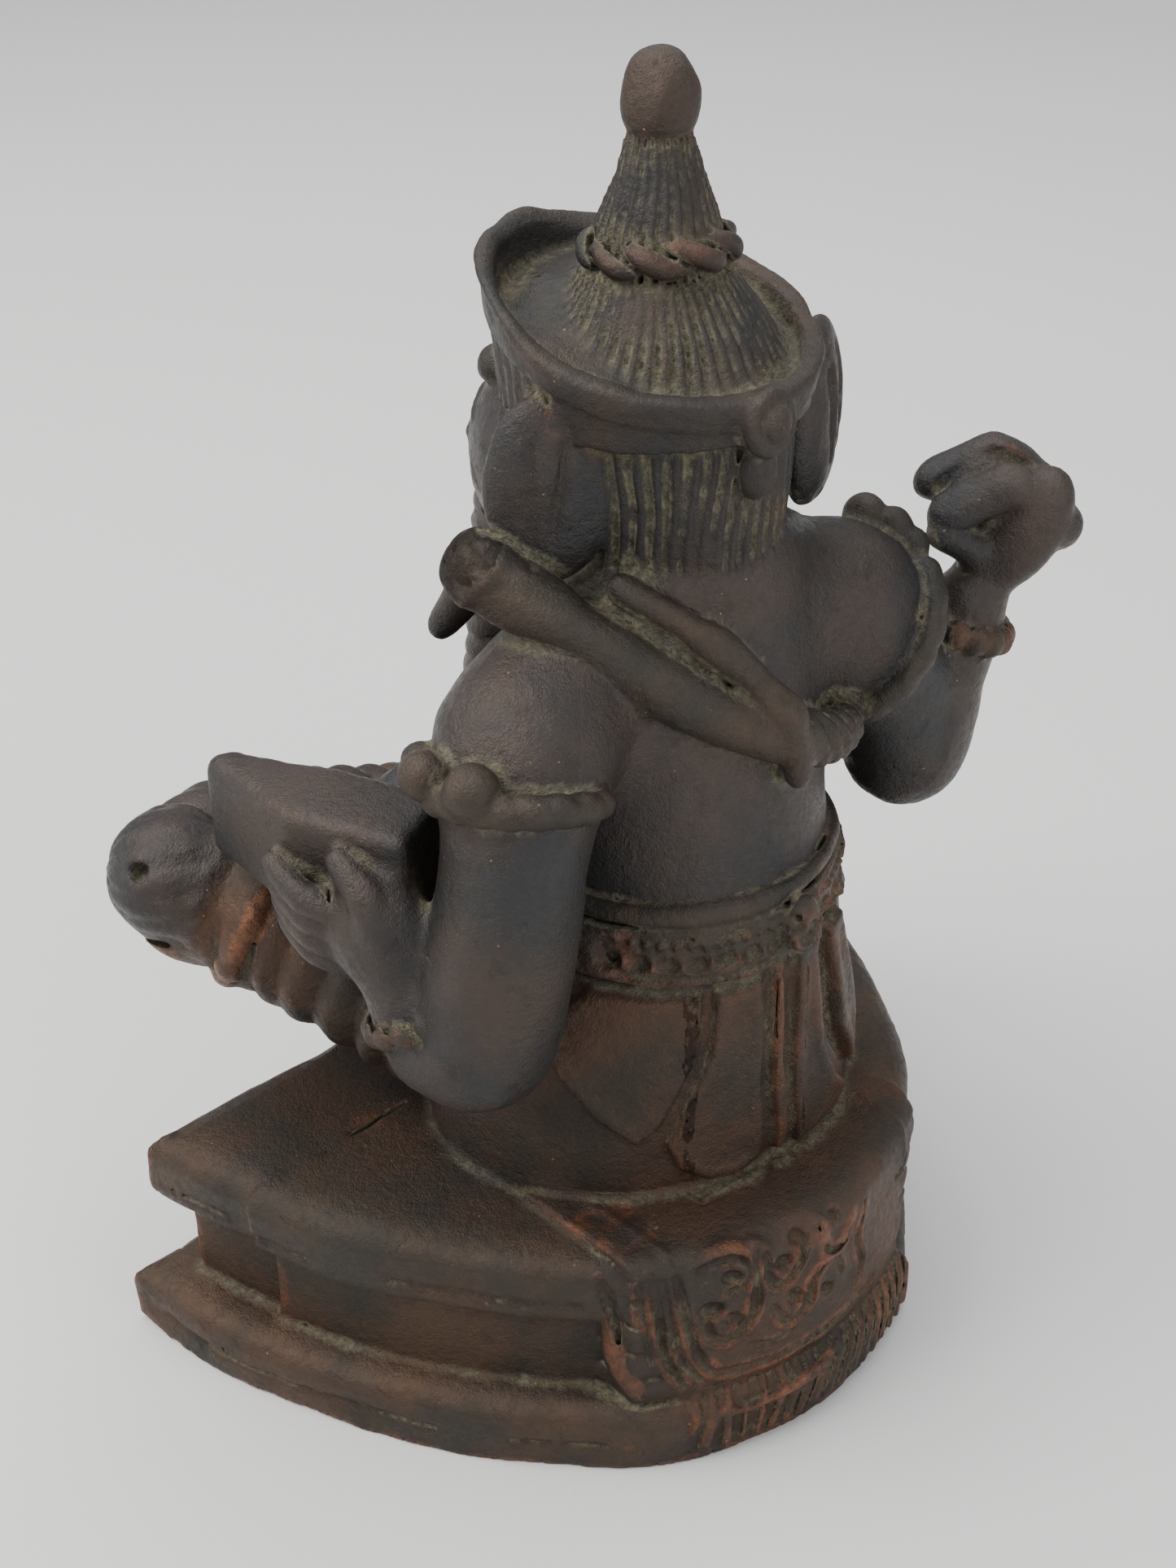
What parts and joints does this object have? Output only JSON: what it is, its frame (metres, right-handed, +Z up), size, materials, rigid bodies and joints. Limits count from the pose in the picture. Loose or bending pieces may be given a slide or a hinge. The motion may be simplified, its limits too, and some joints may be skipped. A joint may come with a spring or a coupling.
{
  "type": "hindu deity statue",
  "caption": "Small cast bronze figure of a seated elephant-headed deity with crossed legs and raised hand on a D-shaped moulded plinth.",
  "frame": {"origin": "on the flat underside of the plinth, directly below the crown's axis", "axes": "+Z up from the underside to the finial; the figure faces -Y; its own left hand, with the block, is on +X"},
  "size_m": [0.098, 0.0749, 0.139],
  "materials": {
    "plinth_bronze": "satin brown patina, copper worn edges, olive dust on the ledges",
    "drapery_bronze": "satin copper-brown patina, dark grooves",
    "skin_bronze": "smooth dark grey-brown patina, fine casting grain",
    "ornament_bronze": "dark patina, worn warm on the high points",
    "crown_bronze": "dark patina with olive and ochre dust in the recesses"
  },
  "bodies": {
    "root": {"belly": "skin_bronze", "belt_band": "ornament_bronze", "belt_cord": "ornament_bronze", "belt_gem": "ornament_bronze", "crown_finial": "crown_bronze", "crown_lower_cone": "crown_bronze", "crown_rope_ring": "crown_bronze", "crown_upper_cone": "crown_bronze", "dhoti_panel_left": "drapery_bronze", "dhoti_panel_middle": "drapery_bronze", "dhoti_panel_right": "drapery_bronze", "dhoti_sash": "drapery_bronze", "diadem": "crown_bronze", "diadem_jewels": "crown_bronze", "diadem_rosette": "crown_bronze", "hair": "crown_bronze", "head": "skin_bronze", "held_block": "skin_bronze", "hips": "drapery_bronze", "left_armlet_band": "ornament_bronze", "left_armlet_beads": "ornament_bronze", "left_bracelet": "ornament_bronze", "left_ear": "skin_bronze", "left_fingers": "skin_bronze", "left_foot": "skin_bronze", "left_forearm": "skin_bronze", "left_knee": "skin_bronze", "left_knee_hem": "drapery_bronze", "left_palm": "skin_bronze", "left_shin": "skin_bronze", "left_thigh": "drapery_bronze", "left_tusk": "skin_bronze", "left_upper_arm": "skin_bronze", "plinth_drum_roll": "plinth_bronze", "plinth_drum_waist": "plinth_bronze", "plinth_foot": "plinth_bronze", "plinth_front_roll": "plinth_bronze", "plinth_front_waist": "plinth_bronze", "right_armlet_band": "ornament_bronze", "right_armlet_beads": "ornament_bronze", "right_bracelet": "ornament_bronze", "right_ear": "skin_bronze", "right_fingers": "skin_bronze", "right_foot": "skin_bronze", "right_forearm": "skin_bronze", "right_knee": "skin_bronze", "right_knee_hem": "drapery_bronze", "right_palm": "skin_bronze", "right_shin": "skin_bronze", "right_thigh": "drapery_bronze", "right_tusk": "skin_bronze", "right_upper_arm": "skin_bronze", "seat_cloth_borders": "drapery_bronze", "seat_cloth_field": "drapery_bronze", "seat_cloth_fringe": "drapery_bronze", "serpent_body": "ornament_bronze", "serpent_head": "ornament_bronze", "serpent_tail": "ornament_bronze", "torso": "skin_bronze", "trunk": "skin_bronze"}
  },
  "joints": []
}
